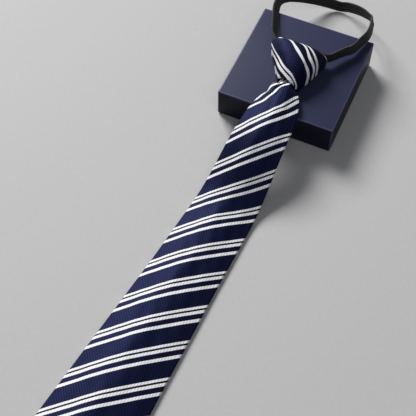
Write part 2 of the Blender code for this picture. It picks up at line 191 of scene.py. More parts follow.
KNOT_COLUMNS = ("left", "left_down", "right", "right_down", "rise")
KNOT_ROWS = (
    (-0.496, 0.064, 0.506, -0.018, 0.90),
    (-0.476, 0.136, 0.500, 0.064, 0.97),
    (-0.430, 0.246, 0.480, 0.213, 1.00),
    (-0.344, 0.410, 0.444, 0.410, 0.98),
    (-0.240, 0.577, 0.414, 0.587, 0.91),
    (-0.142, 0.764, 0.364, 0.782, 0.78),
    (-0.055, 0.910, 0.335, 1.000, 0.57),
)

# The gathered neck, as in the solid. cloth is how much wider the flat cloth is than the gathered one, and
# the pulls are how far its left and right side are pulled into the knot, in stripe periods.
NECK_COLUMNS = ("down", "left", "right", "crown", "lift", "cloth", "left_pull", "right_pull")
NECK_ROWS = (
    (-0.30, 0.56, 0.20, 0.64, 1.00, 1.25, 0.32, 0.30),
    (0.00, 0.58, 0.22, 0.67, 1.00, 1.25, 0.32, 0.30),
    (0.05, 0.78, 0.44, 0.71, 0.98, 1.22, 0.32, 0.30),
    (0.14, 0.81, 0.58, 0.84, 0.90, 1.18, 0.32, 0.29),
    (0.26, 0.79, 0.72, 0.92, 0.70, 1.12, 0.20, 0.25),
    (0.42, 0.93, 0.84, 0.96, 0.40, 1.06, 0.03, 0.19),
    (0.62, 1.02, 0.95, 1.00, 0.12, 1.02, -0.13, 0.12),
    (1.00, 1.05, 1.02, 1.00, 0.00, 1.00, -0.14, 0.00),
    (2.20, 1.06, 1.05, 1.00, 0.00, 1.00, -0.05, 0.00),
    (4.40, 1.00, 1.00, 1.00, 0.00, 1.00, 0.00, 0.00),
)

# Pleats pressed in by the knot: place across at the mouth and where it runs out, length in neck lengths,
# half width across, and depth as a share of the crown.
PLEAT_COLUMNS = ("start", "end", "length", "spread", "depth")
PLEATS = (
    (-0.62, -0.86, 0.95, 0.13, 0.16),
    (-0.10, -0.34, 1.60, 0.20, 0.02),
    (0.46, 0.62, 1.30, 0.20, 0.02),
)

# Where each stripe of the cloth crosses the knot: for an angle round the knot (0 right edge, 90 front,
# 180 left edge), how far down it is the stripe of that phase, and how wide the white stripes are there.
STRIPE_HALF = 0.050               # from a white stripe's middle to its edge, in periods
KNOT_RIB_SQUEEZE = 1.35           # the ribs lie closer where the cloth is wrapped round the knot
KNOT_RIB_DIRECTION = (0.5, 0.86)  # across and down the knot
KNOT_STRIPE_PHASES = (0.0, 0.146, 0.40, 1.0, 1.146, 1.40)
KNOT_STRIPE_COLUMNS = ("angle", "first", "second", "lone", "next_first", "next_second", "next_lone", "width")
KNOT_STRIPE_ROWS = (
    (-60, 0.54, 0.68, 0.90, 1.45, 1.55, 1.80, 0.080),
    (0, 0.457, 0.575, 0.737, 1.06, 1.12, 1.25, 0.076),
    (15, 0.446, 0.545, 0.712, 1.01, 1.06, 1.18, 0.070),
    (38, 0.390, 0.496, 0.662, 0.975, 1.02, 1.12, 0.066),
    (60, 0.268, 0.414, 0.595, 0.945, 1.00, 1.08, 0.070),
    (86, -0.025, 0.115, 0.440, 0.893, 0.970, 1.06, 0.088),
    (110, -0.48, -0.32, 0.060, 0.827, 0.920, 1.04, 0.110),
    (130, -0.76, -0.58, -0.260, 0.735, 0.862, 1.04, 0.100),
    (150, -0.98, -0.80, -0.500, 0.565, 0.755, 0.990, 0.112),
    (165, -1.26, -1.08, -0.780, 0.360, 0.610, 0.910, 0.135),
    (180, -1.52, -1.34, -1.040, 0.120, 0.410, 0.770, 0.150),
    (240, -2.20, -2.02, -1.720, -0.70, -0.40, -0.05, 0.160),
)

# The strap's route, as in the solid. Through the knot: place across in knot widths, how far down the knot,
# height over the knot's walls in strap widths, and lean outwards in degrees.
PASS_ROWS = (
    (0.468, -0.059, 0.01, 0.0),
    (0.356, -0.041, 0.01, 0.0),
    (0.240, 0.020, 0.01, 0.0),
    (0.146, 0.110, 0.01, 0.0),
    (-0.004, 0.141, 0.01, 0.0),
    (-0.124, 0.120, 0.01, 0.0),
    (-0.224, 0.059, 0.01, 2.0),
    (-0.304, -0.022, 0.01, 8.0),
    (-0.384, -0.080, 0.01, 25.0),
    (-0.448, -0.151, 0.04, 33.0),
)
# Round the loop: place across and along in the loop's width and reach, height in box heights, more height in
# strap widths, and lean outwards in degrees.
LOOP_ROWS = (
    (-0.294, 0.100, 1.00, 0.46, 33.0),
    (-0.328, 0.177, 1.00, 0.34, 35.0),
    (-0.391, 0.307, 1.00, 0.16, 35.0),
    (-0.441, 0.415, 1.00, 0.06, 32.0),
    (-0.480, 0.540, 0.90, 0.00, 20.0),
    (-0.471, 0.656, 0.71, 0.00, 18.0),
    (-0.408, 0.733, 0.60, 0.00, 20.0),
    (-0.286, 0.849, 0.37, 0.00, 22.0),
    (-0.149, 0.950, 0.13, 0.00, 24.0),
    (0.004, 1.002, 0.02, 0.00, 22.0),
    (0.130, 0.993, 0.17, 0.00, 14.0),
    (0.300, 0.925, 0.42, 0.00, 3.0),
    (0.436, 0.831, 0.64, 0.00, -14.0),
    (0.480, 0.716, 0.80, 0.00, -17.0),
    (0.515, 0.583, 0.96, 0.00, -19.0),
    (0.522, 0.490, 1.00, 0.08, -21.0),
    (0.498, 0.386, 1.00, 0.14, -20.0),
    (0.464, 0.262, 1.00, 0.23, -14.0),
    (0.405, 0.189, 1.00, 0.29, -9.0),
    (0.353, 0.111, 1.00, 0.37, -5.0),
    (0.313, 0.050, 1.00, 0.43, -2.0),
)

# The camera, fitted to the photograph
CAMERA_PLACE = (0.1802, -0.4760, 0.6169)
CAMERA_TURN = math.atan2(0.490038, 0.871701)   # to the left of +Y
CAMERA_TILT = 1.01675             # below the horizon
CAMERA_ROLL = -0.0082
CAMERA_LENS = 78.75

# The lights: direction, distance, side, power and tint
LIGHT_TARGET = (0, -0.15, 0)
KEY_LIGHT = ((-0.66, 0.42, 0.60), 5.0, 2.05, 372, (1.0, 0.99, 0.97))
FILL_LIGHT = ((0.35, -0.35, 0.87), 5.0, 3.2, 46, (1, 1, 1))
SKY_STRENGTH = 0.14
FLOOR_REACH = 4.0


# Node helpers

class Graph:
    """A material's node tree, with short ways to add to it."""

    def __init__(self, name):
        self.material = bpy.data.materials.new(name)
        self.material.use_nodes = True
        self.tree = self.material.node_tree
        self.shader = self.tree.nodes["Principled BSDF"]

    def node(self, kind, **settings):
        made = self.tree.nodes.new(kind)
        for key, value in settings.items():
            setattr(made, key, value)
        return made

    def join(self, socket, value):
        if isinstance(value, bpy.types.NodeSocket):
            self.tree.links.new(value, socket)
        else:
            socket.default_value = value

    def math(self, operation, a, b=0.0, c=0.0):
        made = self.node("ShaderNodeMath", operation=operation)
        for socket, value in zip(made.inputs, (a, b, c)):
            self.join(socket, value)
        return made.outputs[0]

    def mix(self, share, a, b, blend="MIX"):
        made = self.node("ShaderNodeMix", data_type="RGBA", blend_type=blend)
        self.join(made.inputs["Factor"], share)
        self.join(made.inputs["A"], a)
        self.join(made.inputs["B"], b)
        return made.outputs["Result"]

    def steps(self, value, stops):
        """Grey ramp that jumps at each stop: (place, level)."""
        made = self.node("ShaderNodeValToRGB")
        ramp = made.color_ramp
        ramp.interpolation = "CONSTANT"
        ramp.elements[0].position = stops[0][0]
        ramp.elements[1].position = stops[1][0]
        for place, level in stops[2:]:
            ramp.elements.new(place)
        for element, (place, level) in zip(ramp.elements, stops):
            element.color = (level, level, level, 1)
        self.join(made.inputs[0], value)
        return made.outputs[0]

    def wave(self, value, spacing):
        """0 to 1 and back, once for each spacing."""
        turned = self.math("MULTIPLY", value, 2 * math.pi / spacing)
        return self.math("MULTIPLY_ADD", self.math("SINE", turned), 0.5, 0.5)

    def split(self, vector):
        made = self.node("ShaderNodeSeparateXYZ")
        self.join(made.inputs[0], vector)
        return made.outputs

    def noise(self, place, scale, detail=2.0, roughness=0.5):
        made = self.node("ShaderNodeTexNoise")
        self.join(made.inputs["Vector"], place)
        made.inputs["Scale"].default_value = scale
        made.inputs["Detail"].default_value = detail
        made.inputs["Roughness"].default_value = roughness
        return made.outputs[0]

    def bump(self, height, distance, strength=1.0):
        made = self.node("ShaderNodeBump")
        made.inputs["Strength"].default_value = strength
        made.inputs["Distance"].default_value = distance
        self.join(made.inputs["Height"], height)
        self.join(self.shader.inputs["Normal"], made.outputs[0])

    def set(self, **values):
        for key, value in values.items():
            self.join(self.shader.inputs[key.replace("_", " ")], value)
        return self.material


def colour(tone, scale=1.0, lift=0.0):
    """An opaque colour from a tone, brighter or darker if wanted."""
    red, green, blue = (part * scale + lift for part in tone)
    return (red, green, blue, 1.0)


def cloth_places(graph):
    """Along and across the stripes, in metres, from the piece's cloth map."""
    cloth = graph.node("ShaderNodeUVMap", uv_map="cloth").outputs[0]
    parts = graph.split(cloth)
    return parts[0], parts[1], cloth


# Shares of one period, from each place on: white or not, black or not. They are a white stripe, a black line,
# a second white, navy, the single white and the wide navy, with thin dark outlines.
STRIPE_ROWS = (
    (0.000, 0, 1),
    (0.016, 1, 0),
    (0.094, 0, 1),
    (0.153, 1, 0),
    (0.248, 0, 1),
    (0.270, 0, 0),
    (0.386, 0, 1),
    (0.406, 1, 0),
    (0.502, 0, 1),
    (0.524, 0, 0),
)
STRIPE_LEAD = 0.052               # from the period's start to the middle of the first white


def striped_cloth():
    graph = Graph("striped_cloth_weave")
    along, across, place = cloth_places(graph)
    periods = graph.math("DIVIDE", across, STRIPE_PERIOD)
    phase = graph.math("FRACT", graph.math("ADD", periods, STRIPE_LEAD))
    white = graph.steps(phase, [(start, is_white) for start, is_white, is_black in STRIPE_ROWS])
    black = graph.steps(phase, [(start, is_black) for start, is_white, is_black in STRIPE_ROWS])
    wander = graph.math("MULTIPLY", graph.noise(place, 60, 1), 0.2 * RIB)
    rib = graph.wave(graph.math("ADD", along, wander), RIB)
    slant = graph.math("ADD", along, graph.math("MULTIPLY", across, TWIST_SLANT))
    float_ = graph.wave(slant, TWIST)
    thread = graph.noise(place, THREAD_GRAIN, 2, 0.6)
    patch = graph.noise(place, 45, 3, 0.5)
    navy = graph.mix(rib, colour(NAVY_HOLLOW), colour(NAVY_RIB))
    navy = graph.mix(graph.math("MULTIPLY", thread, 0.2), navy, colour(NAVY_THREAD))
    pale = graph.mix(float_, colour(WHITE_HOLLOW), colour(WHITE_FLOAT))
    pale = graph.mix(graph.math("MULTIPLY", patch, 0.2), pale, colour(WHITE_PATCH))
    shade = graph.mix(white, navy, pale)
    shade = graph.mix(black, shade, colour(BLACK_THREAD))
    height = graph.mix(white, rib, graph.math("ADD", graph.math("MULTIPLY", float_, 0.7), 0.5))
    height = graph.math("ADD", height, graph.math("MULTIPLY", thread, 0.2))
    graph.bump(height, WEAVE_RELIEF, 0.8)
    # The navy threads shine in their own colour, as satin does.
    plain = graph.math("SUBTRACT", 1.0, graph.math("MAXIMUM", white, black))
    shine = graph.math("MULTIPLY", plain, graph.math("MULTIPLY_ADD", thread, 0.2, 0.54))
    rough = graph.math("MULTIPLY_ADD", thread, 0.12, 0.50)
    return graph.set(Base_Color=shade, Metallic=shine, Roughness=rough, Specular_IOR_Level=0.15,
                     Sheen_Weight=0.02, Sheen_Roughness=0.5)


def strap_web(name, ridge_highlight_spacing):
    """Black web with lengthwise ridges, and lighter lengthwise bands painted on as the ridges' highlights."""
    graph = Graph(name)
    along, across, place = cloth_places(graph)
    one = graph.wave(graph.math("ADD", along, across), WEB_SPACING)
    other = graph.wave(graph.math("SUBTRACT", along, across), WEB_SPACING)
    weave = graph.math("MAXIMUM", one, other)
    thread = graph.noise(place, WEB_GRAIN, 2, 0.6)
    # Painted highlight: lighter bands along the web stand in for the light on its ridges.
    ridge = graph.wave(graph.math("SUBTRACT", across, ridge_highlight_spacing / 4), ridge_highlight_spacing)
    shade = graph.mix(weave, colour(WEB_HOLLOW), colour(WEB_THREAD))
    shade = graph.mix(graph.math("MULTIPLY", ridge, 0.55), shade, colour(WEB_RIDGE_HIGHLIGHT))
    shade = graph.mix(graph.math("MULTIPLY", thread, 0.2), shade, colour(WEB_FIBRE))
    graph.bump(graph.math("ADD", weave, graph.math("MULTIPLY", thread, 0.4)), WEAVE_RELIEF, 0.8)
    rough = graph.math("MULTIPLY_ADD", thread, 0.2, 0.5)
    return graph.set(Base_Color=shade, Roughness=rough, Specular_IOR_Level=0.3)


def nylon():
    graph = Graph("nylon_teeth")
    place = graph.node("ShaderNodeTexCoord").outputs["Object"]
    speck = graph.noise(place, 900, 2)
    # Painted highlight: the teeth are a lighter grey than black nylon, standing in for the glint along the
    # strap's upper edge.
    shade = graph.mix(speck, colour(NYLON_DARK), colour(NYLON_LIGHT))
    rough = graph.math("MULTIPLY_ADD", speck, 0.2, 0.22)
    return graph.set(Base_Color=shade, Roughness=rough)


def painted_metal():
    graph = Graph("slider_enamel")
    place = graph.node("ShaderNodeTexCoord").outputs["Object"]
    speck = graph.noise(place, 700, 3)
    shade = graph.mix(speck, colour(ENAMEL_DARK), colour(ENAMEL_LIGHT))
    rough = graph.math("MULTIPLY_ADD", speck, 0.25, 0.18)
    graph.bump(speck, 0.00004, 0.5)
    return graph.set(Base_Color=shade, Roughness=rough, Coat_Weight=0.4)


def card(name, tone):
    """Navy paper over card: fine fibres, sides darkened with painted shade, and lighter edges that are partly
    wear and partly a painted highlight.
    """
    graph = Graph(name)
    place = graph.node("ShaderNodeTexCoord").outputs["Object"]
    fibre = graph.noise(place, PAPER_GRAIN, 4, 0.65)
    cloud = graph.noise(place, 22, 3)
    parts = graph.split(place)
    near = []
    for half, part in zip((BOX_WIDTH / 2, BOX_DEPTH / 2), parts):
        near.append(graph.math("SUBTRACT", half, graph.math("ABSOLUTE", part)))
    near.append(graph.math("SUBTRACT", BOX_HEIGHT, parts[2]))
    # An edge is where two of the three distances to the faces are small.
    middle = graph.math("MAXIMUM", graph.math("MINIMUM", near[0], near[1]),
                        graph.math("MINIMUM", graph.math("MAXIMUM", near[0], near[1]), near[2]))
    edge = graph.math("SUBTRACT", 1.0, graph.math("DIVIDE", middle, EDGE_WEAR_AND_HIGHLIGHT_WIDTH))
    edge = graph.math("MAXIMUM", edge, 0.0)
    wear_and_highlight = graph.math("MULTIPLY", edge, graph.math("MULTIPLY", fibre, 1.1))
    shade = graph.mix(cloud, colour(tone, 0.92), colour(tone, 1.08))
    shade = graph.mix(graph.math("MULTIPLY", fibre, 0.25), shade, colour(tone, 1.6))
    # Painted shade: the upright sides are darkened towards near black, as they lie in shade.
    facing = graph.split(graph.node("ShaderNodeTexCoord").outputs["Normal"])
    side_shade = graph.math("SUBTRACT", 1.0, graph.math("ABSOLUTE", facing[2]))
    shade = graph.mix(graph.math("MULTIPLY", side_shade, 0.80), shade, colour(PAPER_SIDE_SHADE))
    # Lighter edges: partly wear of the paper, partly a painted highlight where the rounded edges catch the
    # light.
    shade = graph.mix(graph.math("MULTIPLY", wear_and_highlight, 0.8), shade, colour(tone, 4, 0.015))
    graph.bump(graph.math("ADD", fibre, graph.math("MULTIPLY", cloud, 0.3)), PAPER_RELIEF, 0.5)
    # The folded edges are rubbed smooth.
    rough = graph.math("MULTIPLY_ADD", fibre, 0.12, graph.math("MULTIPLY_ADD", edge, -0.18, 0.44))
    gloss = graph.math("MULTIPLY_ADD", edge, 0.6, 0.12)
    return graph.set(Base_Color=shade, Roughness=rough, Specular_IOR_Level=gloss)


# Shapes

def column(columns, rows, name):
    return np.array([row[columns.index(name)] for row in rows], float)


def smooth_table(places, values, at):
    """Values at some places, on a smooth curve through the table that never overshoots its rows."""
    places = np.asarray(places, float)
    values = np.asarray(values, float)
    at = np.clip(at, places[0], places[-1])
    steps = np.diff(places)
    slopes = np.diff(values) / steps
    product = slopes[:-1] * slopes[1:]
    total = slopes[:-1] + slopes[1:]
    inner = np.where(product > 0, 2 * product / np.where(total == 0, 1, total), 0)
    tangents = np.concatenate([slopes[:1], inner, slopes[-1:]])
    i = np.clip(np.searchsorted(places, at, side="right") - 1, 0, len(steps) - 1)
    t = (at - places[i]) / steps[i]
    start = (1 + 2 * t) * (1 - t) ** 2 * values[i] + t * (1 - t) ** 2 * steps[i] * tangents[i]
    return start + t * t * (3 - 2 * t) * values[i + 1] + t * t * (t - 1) * steps[i] * tangents[i + 1]


def read_table(columns, rows, name, at):
    """A column's values, on a smooth curve over the first column's places."""
    return smooth_table(column(columns, rows, columns[0]), column(columns, rows, name), at)


def ease(share):
    """Soft step from 0 to 1."""
    share = np.clip(share, 0.0, 1.0)
    return share ** 3 * (share * (6 * share - 15) + 10)


def sheet_mesh(name, grids, finish, ring=False, loop=False, maps=None):
    """Object from grids of points, joined one after the other.

    Each grid is rows x columns x 3. ring joins a row's last point to its first, loop the last row to the
    first. maps has a cloth place for each point, with one more column in a ring and one more row in a loop.
    """
    points = np.asarray(grids, float)
    rows, count = points.shape[:2]
    faces = []
    places = []
    for i in range(rows if loop else rows - 1):
        k = (i + 1) % rows
        for j in range(count if ring else count - 1):
            m = (j + 1) % count
            faces.append((i * count + j, i * count + m, k * count + m, k * count + j))
            if maps is not None:
                places.append((maps[i][j], maps[i][j + 1], maps[i + 1][j + 1], maps[i + 1][j]))
    mesh = bpy.data.meshes.new(name)
    mesh.from_pydata(points.reshape(-1, 3).tolist(), [], faces)
    if maps is not None:
        layer = mesh.uv_layers.new(name="cloth")
        layer.data.foreach_set("uv", np.asarray(places, np.float32).ravel())
    mesh.materials.append(finish)
    return outward(name, mesh)


def outward(name, mesh):
    """An object of the mesh, its faces turned outwards and shaded smooth."""
    form = bmesh.new()
    form.from_mesh(mesh)
    turn_outward(form)
    form.to_mesh(mesh)
    form.free()
    mesh.shade_smooth()
    made = bpy.data.objects.new(name, mesh)
    bpy.context.scene.collection.objects.link(made)
    return made


def turn_outward(form):
    bmesh.ops.recalc_face_normals(form, faces=form.faces)
    if form.calc_volume(signed=True) < 0:
        bmesh.ops.reverse_faces(form, faces=form.faces)


def box_front_y(x):
    """Where the box's front face lies at x, with the box turned."""
    return (-BOX_DEPTH / 2 + x * math.sin(BOX_TURN)) / math.cos(BOX_TURN)


def mouth_y():
    return KNOT_TOP_Y - KNOT_LENGTH


def knot_row(down):
    places = np.linspace(0.0, 1.0, len(KNOT_ROWS))
    inside = min(max(down, 0.0), 1.0)
    found = {name: float(smooth_table(places, column(KNOT_COLUMNS, KNOT_ROWS, name), inside))
             for name in KNOT_COLUMNS}
    for name in ("left_down", "right_down"):
        found[name] += down - inside
    found["set_back"] = KNOT_RIM_SET_BACK * max(1 - 2 * inside, 0.0) ** 2
    return found


def mouth_middle_x():
    mouth = knot_row(1.0)
    return KNOT_MIDDLE_X + (mouth["left"] + mouth["right"]) / 2 * KNOT_WIDTH


# Soft dents and bulges of the knot: where it is round the knot and down it, its reach in degrees and in
# lengths, how far it leans (degrees for each length), and its height in metres, outwards.
DENT_COLUMNS = ("angle", "down", "wide", "long", "lean", "height")
KNOT_DENTS = (
    (128, 0.74, 13, 0.30, -110, -0.0011),
    (150, 0.52, 14, 0.26, -110, 0.0006),
    (96, 0.60, 26, 0.40, -60, 0.0007),
    (50, 0.62, 9, 0.40, -70, -0.0006),
    (36, 0.30, 16, 0.30, -60, 0.0006),
    (70, 0.98, 20, 0.10, 0, -0.0005),
)
DENT_SIDEWAYS = 0.6               # a dent goes this much as far sideways as down


def knot_dents(angles, down):
    total = np.zeros(len(angles))
    for row in KNOT_DENTS:
        dent = dict(zip(DENT_COLUMNS, row))
        beside = np.degrees(angles) - dent["angle"] - dent["lean"] * (down - dent["down"])
        total += (dent["height"] * np.exp(-(beside / dent["wide"]) ** 2)
                  * math.exp(-((down - dent["down"]) / dent["long"]) ** 2))
    return total


def knot_ring(down, inset, squeeze=1.0, dented=True, sink=0.0):
    """Ring of points round the knot, as in the solid, with its soft dents."""
    row = knot_row(down)
    back = BOX_HEIGHT + GAP + inset
    top = BOX_HEIGHT + GAP + KNOT_THICKNESS * row["rise"] - inset
    top = back + (top - back) * squeeze
    side = back + KNOT_SIDE_HEIGHT * (top - back)
    left = KNOT_MIDDLE_X + row["left"] * KNOT_WIDTH + inset
    right = KNOT_MIDDLE_X + row["right"] * KNOT_WIDTH - inset
    left_y = KNOT_TOP_Y - row["left_down"] * KNOT_LENGTH
    right_y = KNOT_TOP_Y - row["right_down"] * KNOT_LENGTH
    angles = 2 * math.pi * np.arange(KNOT_SIDES) / KNOT_SIDES
    cos = np.cos(angles)
    sin = np.sin(angles)
    across = 0.5 + 0.5 * np.sign(cos) * np.abs(cos) ** KNOT_FRONT_SHAPE
    lifted = np.abs(sin)
    y = left_y + (right_y - left_y) * across - sink * across ** COLLAR_SINK_SHAPE
    front = sin >= 0
    z = np.where(front, side + (top - side) * lifted ** KNOT_FRONT_SHAPE,
                 side - (side - back) * lifted ** KNOT_BACK_SHAPE)
    y = np.where(front, y - row["set_back"] * lifted, y)
    x = left + (right - left) * across
    points = np.stack([x, y, z], 1)
    if dented:
        out = np.stack([cos * DENT_SIDEWAYS, np.zeros(KNOT_SIDES), sin], 1)
        out /= np.linalg.norm(out, axis=1)[:, None]
        points += out * (knot_dents(angles, down) * front)[:, None]
    return points


def knot_places(down):
    """Cloth places round the knot at a share of its length, with the first one again at the end."""
    angles = np.degrees(2 * math.pi * np.arange(KNOT_SIDES + 1) / KNOT_SIDES)
    last_angle = KNOT_STRIPE_ROWS[-1][0]
    turned = np.where(angles > last_angle, angles - 360, angles)
    ring = knot_ring(down, 0.0, dented=False)
    ring = np.vstack([ring, ring[:1]])
    crossings = np.stack([read_table(KNOT_STRIPE_COLUMNS, KNOT_STRIPE_ROWS, name, turned)
                          for name in KNOT_STRIPE_COLUMNS[1:]], 1)
    phase = np.array([float(reach_table(*stripe_edges(row), down)) for row in crossings])
    across, down_share = KNOT_RIB_DIRECTION
    along = (ring[:, 0] * across - ring[:, 1] * down_share) * KNOT_RIB_SQUEEZE
    return np.stack([along, phase * STRIPE_PERIOD], 1)


def stripe_edges(crossings):
    """Places down the knot and phases of the white stripes' edges and middles."""
    width = crossings[-1]
    places = []
    phases = []
    for group in (0, 3):
        first, second = crossings[group:group + 2]
        at_first, at_second = KNOT_STRIPE_PHASES[group:group + 2]
        # Where a pair is pressed together its stripes are narrower.
        half = min(width / 2, STRIPE_HALF * (second - first) / (at_second - at_first))
        for middle, phase in zip(crossings[group:group + 3], KNOT_STRIPE_PHASES[group:group + 3]):
            for side in (-1, 0, 1):
                places.append(middle + side * half)
                phases.append(phase + side * STRIPE_HALF)
    return places, phases


def reach_table(places, values, at):
    """Like smooth_table, but carried on straight beyond its ends."""
    if at < places[0]:
        return values[0] + (at - places[0]) * (values[1] - values[0]) / (places[1] - places[0])
    if at > places[-1]:
        return values[-1] + (at - places[-1]) * (values[-1] - values[-2]) / (places[-1] - places[-2])
    return smooth_table(places, values, at)


def rolled(ring_of, places_of, start, end, inset, wall, steps):
    """Rows of a cloth funnel: down outside, round the lower rim, up inside and round the upper rim."""
    rows = []
    maps = []
    radius = wall / 2
    length = KNOT_LENGTH
    for i in range(steps + 1):
        down = start + (end - start) * i / steps
        rows.append(ring_of(down, inset))
        maps.append(places_of(down))
    for i in range(1, RIM_STEPS):
        angle = math.pi * i / RIM_STEPS
        past = math.sin(angle) * radius / length
        rows.append(ring_of(end + past, inset + radius * (1 - math.cos(angle))))
        maps.append(places_of(end + 2 * radius / length * i / RIM_STEPS))
    for i in range(steps + 1):
        down = end + (start - end) * i / steps
        rows.append(ring_of(down, inset + wall))
        maps.append(places_of(2 * end - down + 2 * radius / length))
    for i in range(1, RIM_STEPS):
        angle = math.pi * i / RIM_STEPS
        past = math.sin(angle) * radius / length
        rows.append(ring_of(start - past, inset + radius * (1 + math.cos(angle))))
        maps.append(places_of(start - 2 * radius / length * (RIM_STEPS - i) / RIM_STEPS))
    maps.append(places_of(start))
    return rows, maps


def make_knot(finish):
    radius = KNOT_WALL / 2 / KNOT_LENGTH
    rows, maps = rolled(knot_ring, knot_places, radius, 1.0 - radius, 0.0, KNOT_WALL, KNOT_STEPS)
    made = sheet_mesh("knot_cloth", rows, finish, ring=True, loop=True, maps=maps)
    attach(made, "root")
    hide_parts("knot_wrap")
    return made


def collar_places(down):
    """The inner turn shows another stretch of the cloth, with its stripes across the rim."""
    ring = knot_ring(down, 0.0, dented=False)
    ring = np.vstack([ring, ring[:1]])
    beside = ring[:, 0] - COLLAR_WHITE_X
    pinch = COLLAR_PINCH * np.tanh(beside / COLLAR_PEEK_WIDTH)
    across = STRIPE_PERIOD - beside * COLLAR_STRETCH - pinch - down * COLLAR_SLOPE
    return np.stack([ring[:, 0] * COLLAR_RIB - down * COLLAR_SLOPE, across], 1)


def make_collar(finish):
    deep = COLLAR_DEPTH / KNOT_LENGTH
    rim = -COLLAR_RIM / KNOT_LENGTH
    radius = COLLAR_WALL / 2 / KNOT_LENGTH

    def ring(down, inset):
        share = (deep - down) / (deep - rim)
        points = knot_ring(down, inset, 1.0 if down > 0.5 * rim else COLLAR_LIP, dented=False,
                           sink=COLLAR_SINK * share)
        front = np.sin(2 * math.pi * np.arange(KNOT_SIDES) / KNOT_SIDES) > 0
        beside = (points[:, 0] - COLLAR_WHITE_X) / COLLAR_PEEK_WIDTH
        points[:, 1] += front * COLLAR_PEEK * share ** 2 * np.exp(-beside ** 2)
        return points

    rows, maps = rolled(ring, collar_places, rim + radius, deep - radius, KNOT_WALL + GAP, COLLAR_WALL,
                        COLLAR_STEPS)
    made = sheet_mesh("collar_cloth", rows, finish, ring=True, loop=True, maps=maps)
    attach(made, "root")
    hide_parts("knot_collar")
    return made


def drop(y):
    """1 on the box and 0 on the table, with a soft slope between."""
    start = box_front_y(BLADE_X) - DROP_START
    return 1 - ease((start - y) / DROP_LENGTH)


def neck(name, y):
    return read_table(NECK_COLUMNS, NECK_ROWS, name, (mouth_y() - y) / NECK_LENGTH)


def zip_underside(y):
    on_box = BOX_HEIGHT + GAP + (KNOT_WALL + GAP) * neck("lift", y)
    return on_box * drop(y) - (ZIP_CHAIN + GAP) * (1 - drop(y))


def blade_underside(y):
    return zip_underside(y) + ZIP_CHAIN + GAP


def slope_normal(height, y):
    rise = (height(y + GAP) - height(y - GAP)) / (2 * GAP)
    length = math.hypot(rise, 1.0)
    return -rise / length, 1.0 / length


def pleat_depth(across, y):
    below = max(mouth_y() - y, 0.0) / NECK_LENGTH
    depth = np.zeros(len(across))
    for row in PLEATS:
        pleat = dict(zip(PLEAT_COLUMNS, row))
        share = below / pleat["length"]
        if share < 1:
            place = pleat["start"] + (pleat["end"] - pleat["start"]) * share
            fade = (1 - ease(share)) * pleat["depth"] * BLADE_CROWN
            depth += fade * np.exp(-((across - place) / pleat["spread"]) ** 2)
    return depth


def soft_waves(across, y):
    """The slight unevenness of stuffed cloth, in metres."""
    return (0.00022 * np.sin(across * 5.1 + y * 61 + 0.4) * math.sin(y * 47 + 1.0)
            + 0.00016 * np.sin(across * 9.3 - y * 103) + 0.00010 * np.sin(across * 15 + y * 190))


def crown_height(across, left, right, rise, radius, y):
    """Height of the blade's front over its underside."""
    side = np.where(across > 0, right, left)
    u = across * side
    ridge = BLADE_RIDGE * (left + right)
    beside = np.abs((u - ridge) / np.where(u > ridge, right - ridge, left + ridge))
    roof = (np.sqrt(beside ** 2 + RIDGE_SOFTNESS ** 2) - RIDGE_SOFTNESS) / (
        math.sqrt(1 + RIDGE_SOFTNESS ** 2) - RIDGE_SOFTNESS)
    round_ = np.minimum(beside, 1.0) ** 2
    height = 2 * radius + rise * (1 - ROOF_SHARE * roof - (1 - ROOF_SHARE) * round_)
    return u, height - (pleat_depth(across, y) - soft_waves(across, y)) * (1 - across ** PLEAT_EDGE)


